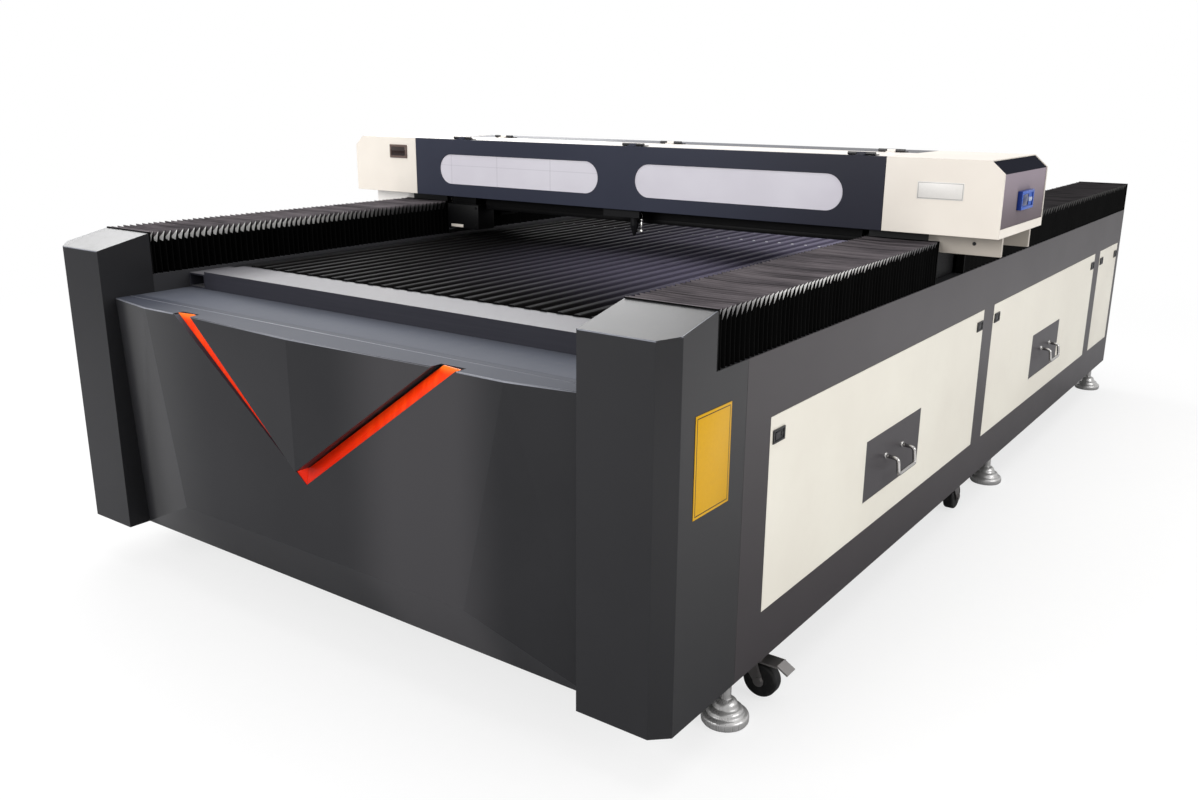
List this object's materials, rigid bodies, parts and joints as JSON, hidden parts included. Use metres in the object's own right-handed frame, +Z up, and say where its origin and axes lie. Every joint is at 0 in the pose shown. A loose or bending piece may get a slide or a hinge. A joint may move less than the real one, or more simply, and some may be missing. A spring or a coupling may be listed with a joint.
{
  "type": "laser cutting machine",
  "caption": "Long flatbed laser cutter: slatted bed between bellows, white-capped travelling gantry with hinged windowed hood, lift-off side panels, drawers and levelling feet.",
  "frame": {"origin": "on the floor under the middle of the machine's width and overall length", "axes": "+X to the viewer's right seen from the front, +Y from the front to the rear, +Z up"},
  "size_m": [2.1238, 3.576, 1.0615],
  "materials": {
    "frame_paint": "satin",
    "body_paint": "glossy",
    "ledge_paint": "satin",
    "strip_red": "glossy",
    "bed_steel": "brushed",
    "slat_steel": "dull",
    "rail_steel": "ground",
    "belt_rubber": "matte",
    "bellows_fabric": "coated",
    "zinc": "zinc plated",
    "panel_white": "satin",
    "drawer_paint": "satin",
    "handle_steel": "satin",
    "beam_black": "satin",
    "cover_paint": "satin",
    "cap_white": "satin",
    "lid_paint": "glossy",
    "aluminium": "machined",
    "motor_black": "satin",
    "shaft_steel": "ground",
    "tube_glass": "clear",
    "window_acrylic": "milky",
    "meter_blue": "glossy",
    "hinge_black": "satin",
    "head_black": "anodised",
    "caster_zinc": "zinc plated",
    "caster_rubber": "matte"
  },
  "bodies": {
    "base": {"base_frame": "frame_paint", "right_skin": "body_paint", "left_skin": "body_paint", "right_post": "body_paint", "left_post": "body_paint", "front_panel": "body_paint", "vee_insert": "body_paint", "vee_strips": "strip_red", "front_ledge": "ledge_paint", "rear_panel": "body_paint", "exhaust_spigots": "zinc", "bed_frame": "bed_steel", "knife_slats": "slat_steel", "y_rails": "rail_steel", "y_belts": "belt_rubber", "front_right_bellows": "bellows_fabric", "front_left_bellows": "bellows_fabric", "rear_right_bellows": "bellows_fabric", "rear_left_bellows": "bellows_fabric", "levelling_feet": "zinc"},
    "gantry": {"gantry_beam": "beam_black", "gantry_housing": "cover_paint", "left_end_cap": "cap_white", "right_end_cap": "cap_white", "end_panels": "cover_paint", "y_carriages": "aluminium", "drive_motors": "motor_black", "laser_tube": "tube_glass", "tube_clamps": "aluminium", "mirror_mounts": "head_black", "x_rail": "rail_steel", "x_belt": "belt_rubber", "panel_meters": "meter_blue", "lid_hinges": "hinge_black"},
    "lid": {"top_lid": "lid_paint", "cover_hinges": "hinge_black"},
    "cover": {"front_cover": "cover_paint", "cover_windows": "window_acrylic"},
    "head": {"head_carriage": "head_black"},
    "lens": {"lens_tube": "head_black"},
    "shaft": {"drive_shaft": "shaft_steel"},
    "x_pulley": {"x_drive_pulley": "aluminium"},
    "right_front_panel": {"right_front_panel": "panel_white"},
    "right_middle_panel": {"right_middle_panel": "panel_white"},
    "right_rear_panel": {"right_rear_panel": "panel_white"},
    "left_front_panel": {"left_front_panel": "panel_white"},
    "left_middle_panel": {"left_middle_panel": "panel_white"},
    "left_rear_panel": {"left_rear_panel": "panel_white"},
    "front_drawer": {"front_drawer": "drawer_paint", "front_drawer_handle": "handle_steel"},
    "rear_drawer": {"rear_drawer": "drawer_paint", "rear_drawer_handle": "handle_steel"},
    "front_right_fork": {"front_right_fork": "caster_zinc"},
    "front_right_wheel": {"front_right_wheel": "caster_rubber"},
    "second_right_fork": {"second_right_fork": "caster_zinc"},
    "second_right_wheel": {"second_right_wheel": "caster_rubber"},
    "front_left_fork": {"front_left_fork": "caster_zinc"},
    "front_left_wheel": {"front_left_wheel": "caster_rubber"},
    "second_left_fork": {"second_left_fork": "caster_zinc"},
    "second_left_wheel": {"second_left_wheel": "caster_rubber"}
  },
  "joints": [
    {"name": "gantry_slide", "type": "slide", "parent": "base", "child": "gantry", "axis": [0, 1, 0], "range_m": [-0.88, 1.72], "deforming": ["front_right_bellows", "front_left_bellows", "rear_right_bellows", "rear_left_bellows"]},
    {"name": "lid_hinge", "type": "hinge", "parent": "gantry", "child": "lid", "pos_m": [0, -0.421, 1.0575], "axis": [-1, 0, 0], "range_deg": [0, 90]},
    {"name": "cover_hinge", "type": "hinge", "parent": "lid", "child": "cover", "pos_m": [0, -0.616, 1.0575], "axis": [-1, 0, 0], "range_deg": [0, 100]},
    {"name": "head_slide", "type": "slide", "parent": "gantry", "child": "head", "axis": [1, 0, 0], "range_m": [-0.69, 0.61]},
    {"name": "focus_slide", "type": "slide", "parent": "head", "child": "lens", "axis": [0, 0, 1], "range_m": [-0.03, 0.02]},
    {"name": "shaft_spin", "type": "hinge", "parent": "gantry", "child": "shaft", "pos_m": [0, -0.452, 0.8443], "axis": [1, 0, 0], "range_deg": [-4930, 2525]},
    {"name": "pulley_spin", "type": "hinge", "parent": "gantry", "child": "x_pulley", "pos_m": [-0.735, -0.56, 0.997], "axis": [0, 1, 0], "range_deg": [-1750, 1980]},
    {"name": "right_front_panel_lift", "type": "slide", "parent": "base", "child": "right_front_panel", "axis": [1, 0, 0], "range_m": [0, 0.1]},
    {"name": "right_middle_panel_lift", "type": "slide", "parent": "base", "child": "right_middle_panel", "axis": [1, 0, 0], "range_m": [0, 0.1]},
    {"name": "right_rear_panel_lift", "type": "slide", "parent": "base", "child": "right_rear_panel", "axis": [1, 0, 0], "range_m": [0, 0.1]},
    {"name": "left_front_panel_lift", "type": "slide", "parent": "base", "child": "left_front_panel", "axis": [-1, 0, 0], "range_m": [0, 0.1]},
    {"name": "left_middle_panel_lift", "type": "slide", "parent": "base", "child": "left_middle_panel", "axis": [-1, 0, 0], "range_m": [0, 0.1]},
    {"name": "left_rear_panel_lift", "type": "slide", "parent": "base", "child": "left_rear_panel", "axis": [-1, 0, 0], "range_m": [0, 0.1]},
    {"name": "front_drawer_slide", "type": "slide", "parent": "base", "child": "front_drawer", "axis": [1, 0, 0], "range_m": [0, 0.42]},
    {"name": "rear_drawer_slide", "type": "slide", "parent": "base", "child": "rear_drawer", "axis": [1, 0, 0], "range_m": [0, 0.42]},
    {"name": "front_right_swivel", "type": "hinge", "parent": "base", "child": "front_right_fork", "pos_m": [0.849, -1.344, 0.115], "axis": [0, 0, 1], "continuous": true},
    {"name": "front_right_roll", "type": "hinge", "parent": "front_right_fork", "child": "front_right_wheel", "pos_m": [0.877, -1.344, 0.0425], "axis": [0, 1, 0], "continuous": true},
    {"name": "second_right_swivel", "type": "hinge", "parent": "base", "child": "second_right_fork", "pos_m": [0.849, -0.1, 0.115], "axis": [0, 0, 1], "continuous": true},
    {"name": "second_right_roll", "type": "hinge", "parent": "second_right_fork", "child": "second_right_wheel", "pos_m": [0.849, -0.072, 0.0425], "axis": [1, 0, 0], "continuous": true},
    {"name": "front_left_swivel", "type": "hinge", "parent": "base", "child": "front_left_fork", "pos_m": [-0.849, -1.344, 0.115], "axis": [0, 0, 1], "continuous": true},
    {"name": "front_left_roll", "type": "hinge", "parent": "front_left_fork", "child": "front_left_wheel", "pos_m": [-0.877, -1.344, 0.0425], "axis": [0, 1, 0], "continuous": true},
    {"name": "second_left_swivel", "type": "hinge", "parent": "base", "child": "second_left_fork", "pos_m": [-0.849, -0.1, 0.115], "axis": [0, 0, 1], "continuous": true},
    {"name": "second_left_roll", "type": "hinge", "parent": "second_left_fork", "child": "second_left_wheel", "pos_m": [-0.849, -0.072, 0.0425], "axis": [1, 0, 0], "continuous": true}
  ],
  "couplings": [
    {"joint": "shaft_spin", "follows": "gantry_slide", "rad_per_m": -50},
    {"joint": "pulley_spin", "follows": "head_slide", "rad_per_m": -50}
  ]
}
